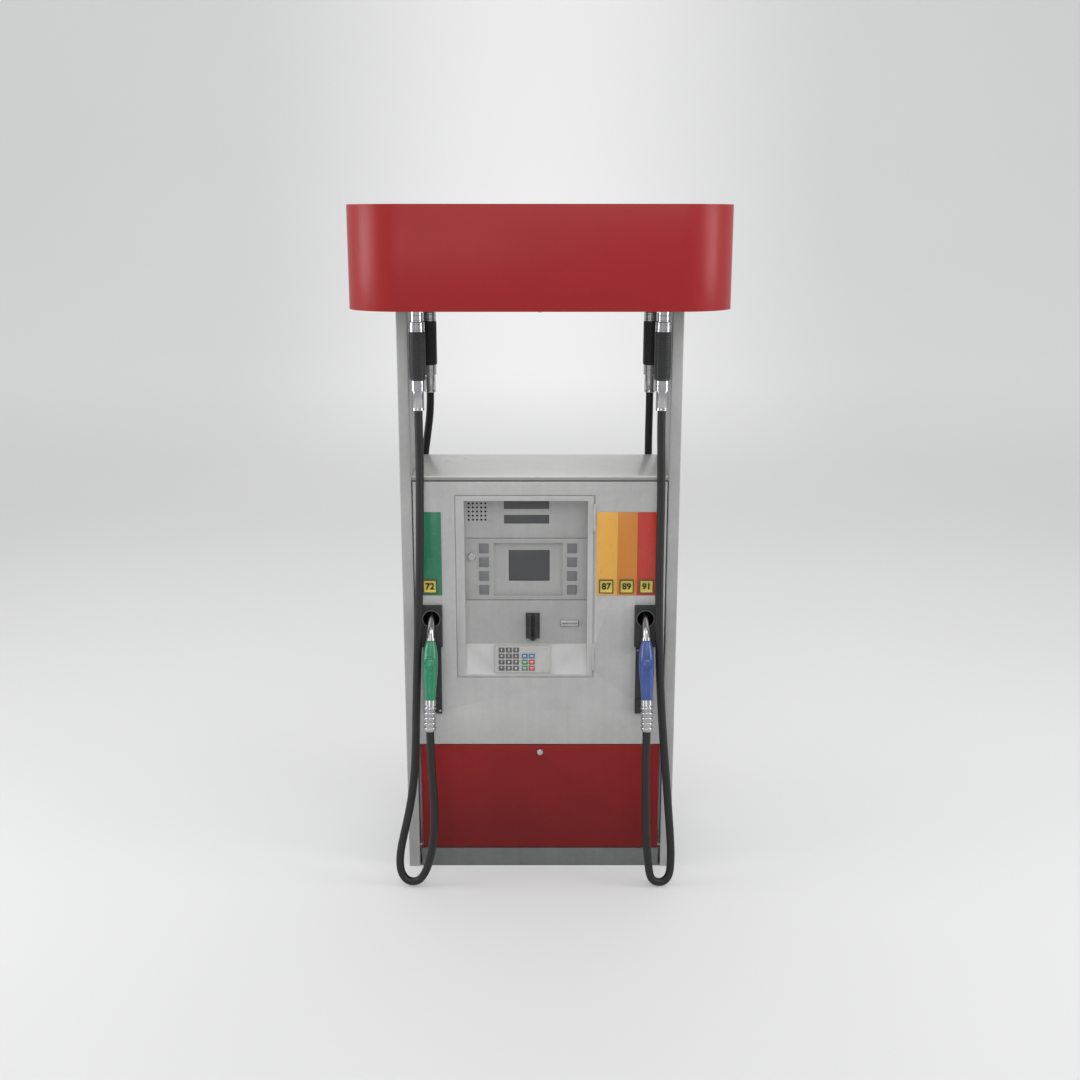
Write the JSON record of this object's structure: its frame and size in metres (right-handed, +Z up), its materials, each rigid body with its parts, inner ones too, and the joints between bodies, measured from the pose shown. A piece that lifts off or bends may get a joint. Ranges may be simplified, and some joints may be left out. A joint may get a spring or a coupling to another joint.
{
  "type": "fuel dispenser",
  "caption": "Two-sided fuel dispenser: cabinet between two columns, rounded canopy, high-hung hoses, hooked nozzles, payment recess, hinged doors.",
  "frame": {"origin": "middle of the base, on the surface that the dispenser stands on", "axes": "+Z up, -Y out of the front, +X to the right seen from the front"},
  "size_m": [1.27, 0.8024, 2.355],
  "materials": {
    "canopy_red": "satin",
    "door_red": "satin",
    "column_gray": "satin",
    "panel_gray": "satin",
    "plinth_gray": "satin",
    "soffit_gray": "matt",
    "frame_steel": "zinc plated",
    "box_steel": "matt",
    "meter_casting": "painted casting",
    "pipe_steel": "galvanised",
    "chrome": "polished",
    "black_rubber": "textured sleeve",
    "boot_black": "moulded",
    "grade_colours": "coloured film",
    "screw_steel": "zinc plated",
    "hose_rubber": "smooth cover",
    "display_glass": "dark window",
    "reader_black": "moulded",
    "keypad_plate": "brushed",
    "keypad_keys": "moulded",
    "soft_key_gray": "moulded",
    "button_yellow": "printed cap",
    "nozzle_metal": "polished",
    "lever_metal": "cast",
    "cover_green": "soft vinyl",
    "cover_blue": "soft vinyl"
  },
  "bodies": {
    "root": {"base_plinth": "plinth_gray", "left_column": "column_gray", "right_column": "column_gray", "inner_frame": "frame_steel", "canopy_fascia": "canopy_red", "canopy_soffit": "soffit_gray", "canopy_lid": "soffit_gray", "cabinet_top_cover": "panel_gray", "electronics_box": "box_steel", "flow_meters": "meter_casting", "fuel_pipes": "pipe_steel", "hose_fittings": "chrome", "breakaway_couplings": "black_rubber", "nozzle_boots": "boot_black", "grade_strips": "grade_colours", "fasteners": "screw_steel", "front_panel": "panel_gray", "rear_panel": "panel_gray", "hose_front_left": "hose_rubber", "hose_front_right": "hose_rubber", "hose_rear_left": "hose_rubber", "hose_rear_right": "hose_rubber"},
    "front_bezel": {"front_bezel_door": "panel_gray", "front_displays": "display_glass", "front_card_reader": "reader_black", "front_keypad_plate": "keypad_plate"},
    "front_keypad": {"front_keypad_keys": "keypad_keys"},
    "front_soft": {"front_soft_keys": "soft_key_gray"},
    "front_bezel_cam": {"front_bezel_lock": "chrome"},
    "front_lower": {"front_lower_door": "door_red"},
    "front_lower_cam": {"front_lower_lock": "chrome"},
    "front_grade_72": {"front_button_72": "button_yellow"},
    "front_grade_87": {"front_button_87": "button_yellow"},
    "front_grade_89": {"front_button_89": "button_yellow"},
    "front_grade_91": {"front_button_91": "button_yellow"},
    "front_left_nozzle": {"front_left_nozzle_body": "nozzle_metal", "front_left_nozzle_cover": "cover_green"},
    "front_left_nozzle_trigger": {"front_left_nozzle_lever": "lever_metal"},
    "front_right_nozzle": {"front_right_nozzle_body": "nozzle_metal", "front_right_nozzle_cover": "cover_blue"},
    "front_right_nozzle_trigger": {"front_right_nozzle_lever": "lever_metal"},
    "rear_bezel": {"rear_bezel_door": "panel_gray", "rear_displays": "display_glass", "rear_card_reader": "reader_black", "rear_keypad_plate": "keypad_plate"},
    "rear_keypad": {"rear_keypad_keys": "keypad_keys"},
    "rear_soft": {"rear_soft_keys": "soft_key_gray"},
    "rear_bezel_cam": {"rear_bezel_lock": "chrome"},
    "rear_lower": {"rear_lower_door": "door_red"},
    "rear_lower_cam": {"rear_lower_lock": "chrome"},
    "rear_grade_72": {"rear_button_72": "button_yellow"},
    "rear_grade_87": {"rear_button_87": "button_yellow"},
    "rear_grade_89": {"rear_button_89": "button_yellow"},
    "rear_grade_91": {"rear_button_91": "button_yellow"},
    "rear_left_nozzle": {"rear_left_nozzle_body": "nozzle_metal", "rear_left_nozzle_cover": "cover_green"},
    "rear_left_nozzle_trigger": {"rear_left_nozzle_lever": "lever_metal"},
    "rear_right_nozzle": {"rear_right_nozzle_body": "nozzle_metal", "rear_right_nozzle_cover": "cover_blue"},
    "rear_right_nozzle_trigger": {"rear_right_nozzle_lever": "lever_metal"}
  },
  "joints": [
    {"name": "front_bezel_hinge", "type": "hinge", "parent": "root", "child": "front_bezel", "pos_m": [0.1875, -0.2275, 1.061], "axis": [0, 0, 1], "range_deg": [0, 95]},
    {"name": "front_keypad_press", "type": "slide", "parent": "front_bezel", "child": "front_keypad", "axis": [0, 0.9333, -0.359], "range_m": [0, 0.0015], "stiffness_N_per_m": 600},
    {"name": "front_soft_key_press", "type": "slide", "parent": "front_bezel", "child": "front_soft", "axis": [0, 1, 0], "range_m": [0, 0.002], "stiffness_N_per_m": 600},
    {"name": "front_bezel_lock_turn", "type": "hinge", "parent": "front_bezel", "child": "front_bezel_cam", "pos_m": [-0.239, -0.182, 1.162], "axis": [0, 1, 0], "range_deg": [-90, 0]},
    {"name": "front_lower_door_tilt", "type": "hinge", "parent": "root", "child": "front_lower", "pos_m": [0, -0.212, 0.082], "axis": [1, 0, 0], "range_deg": [0, 10]},
    {"name": "front_lower_lock_turn", "type": "hinge", "parent": "front_lower", "child": "front_lower_cam", "pos_m": [0, -0.221, 0.448], "axis": [0, -1, 0], "range_deg": [-90, 0]},
    {"name": "front_button_72_press", "type": "slide", "parent": "root", "child": "front_grade_72", "axis": [0, 1, 0], "range_m": [0, 0.003], "stiffness_N_per_m": 500},
    {"name": "front_button_87_press", "type": "slide", "parent": "root", "child": "front_grade_87", "axis": [0, 1, 0], "range_m": [0, 0.003], "stiffness_N_per_m": 500},
    {"name": "front_button_89_press", "type": "slide", "parent": "root", "child": "front_grade_89", "axis": [0, 1, 0], "range_m": [0, 0.003], "stiffness_N_per_m": 500},
    {"name": "front_button_91_press", "type": "slide", "parent": "root", "child": "front_grade_91", "axis": [0, 1, 0], "range_m": [0, 0.003], "stiffness_N_per_m": 500},
    {"name": "front_left_nozzle_lift", "type": "slide", "parent": "root", "child": "front_left_nozzle", "axis": [0, -0.8121, -0.5835], "range_m": [0, 0.16], "deforming": ["hose_front_left"]},
    {"name": "front_left_nozzle_squeeze", "type": "hinge", "parent": "front_left_nozzle", "child": "front_left_nozzle_trigger", "pos_m": [-0.379, -0.28617, 0.8302], "axis": [-1, 0, 0], "range_deg": [0, 12], "stiffness_Nm_per_rad": 1.5, "springref_deg": -2.86},
    {"name": "front_right_nozzle_lift", "type": "slide", "parent": "root", "child": "front_right_nozzle", "axis": [0, -0.8121, -0.5835], "range_m": [0, 0.16], "deforming": ["hose_front_right"]},
    {"name": "front_right_nozzle_squeeze", "type": "hinge", "parent": "front_right_nozzle", "child": "front_right_nozzle_trigger", "pos_m": [0.368, -0.28617, 0.8302], "axis": [-1, 0, 0], "range_deg": [0, 12], "stiffness_Nm_per_rad": 1.5, "springref_deg": -2.86},
    {"name": "rear_bezel_hinge", "type": "hinge", "parent": "root", "child": "rear_bezel", "pos_m": [-0.1875, 0.2275, 1.061], "axis": [0, 0, 1], "range_deg": [0, 95]},
    {"name": "rear_keypad_press", "type": "slide", "parent": "rear_bezel", "child": "rear_keypad", "axis": [0, -0.9333, -0.359], "range_m": [0, 0.0015], "stiffness_N_per_m": 600},
    {"name": "rear_soft_key_press", "type": "slide", "parent": "rear_bezel", "child": "rear_soft", "axis": [0, -1, 0], "range_m": [0, 0.002], "stiffness_N_per_m": 600},
    {"name": "rear_bezel_lock_turn", "type": "hinge", "parent": "rear_bezel", "child": "rear_bezel_cam", "pos_m": [0.239, 0.182, 1.162], "axis": [0, -1, 0], "range_deg": [-90, 0]},
    {"name": "rear_lower_door_tilt", "type": "hinge", "parent": "root", "child": "rear_lower", "pos_m": [0, 0.212, 0.082], "axis": [-1, 0, 0], "range_deg": [0, 10]},
    {"name": "rear_lower_lock_turn", "type": "hinge", "parent": "rear_lower", "child": "rear_lower_cam", "pos_m": [0, 0.221, 0.448], "axis": [0, 1, 0], "range_deg": [-90, 0]},
    {"name": "rear_button_72_press", "type": "slide", "parent": "root", "child": "rear_grade_72", "axis": [0, -1, 0], "range_m": [0, 0.003], "stiffness_N_per_m": 500},
    {"name": "rear_button_87_press", "type": "slide", "parent": "root", "child": "rear_grade_87", "axis": [0, -1, 0], "range_m": [0, 0.003], "stiffness_N_per_m": 500},
    {"name": "rear_button_89_press", "type": "slide", "parent": "root", "child": "rear_grade_89", "axis": [0, -1, 0], "range_m": [0, 0.003], "stiffness_N_per_m": 500},
    {"name": "rear_button_91_press", "type": "slide", "parent": "root", "child": "rear_grade_91", "axis": [0, -1, 0], "range_m": [0, 0.003], "stiffness_N_per_m": 500},
    {"name": "rear_left_nozzle_lift", "type": "slide", "parent": "root", "child": "rear_left_nozzle", "axis": [0, 0.8121, -0.5835], "range_m": [0, 0.16], "deforming": ["hose_rear_left"]},
    {"name": "rear_left_nozzle_squeeze", "type": "hinge", "parent": "rear_left_nozzle", "child": "rear_left_nozzle_trigger", "pos_m": [0.379, 0.28617, 0.8302], "axis": [1, 0, 0], "range_deg": [0, 12], "stiffness_Nm_per_rad": 1.5, "springref_deg": -2.86},
    {"name": "rear_right_nozzle_lift", "type": "slide", "parent": "root", "child": "rear_right_nozzle", "axis": [0, 0.8121, -0.5835], "range_m": [0, 0.16], "deforming": ["hose_rear_right"]},
    {"name": "rear_right_nozzle_squeeze", "type": "hinge", "parent": "rear_right_nozzle", "child": "rear_right_nozzle_trigger", "pos_m": [-0.368, 0.28617, 0.8302], "axis": [1, 0, 0], "range_deg": [0, 12], "stiffness_Nm_per_rad": 1.5, "springref_deg": -2.86}
  ]
}
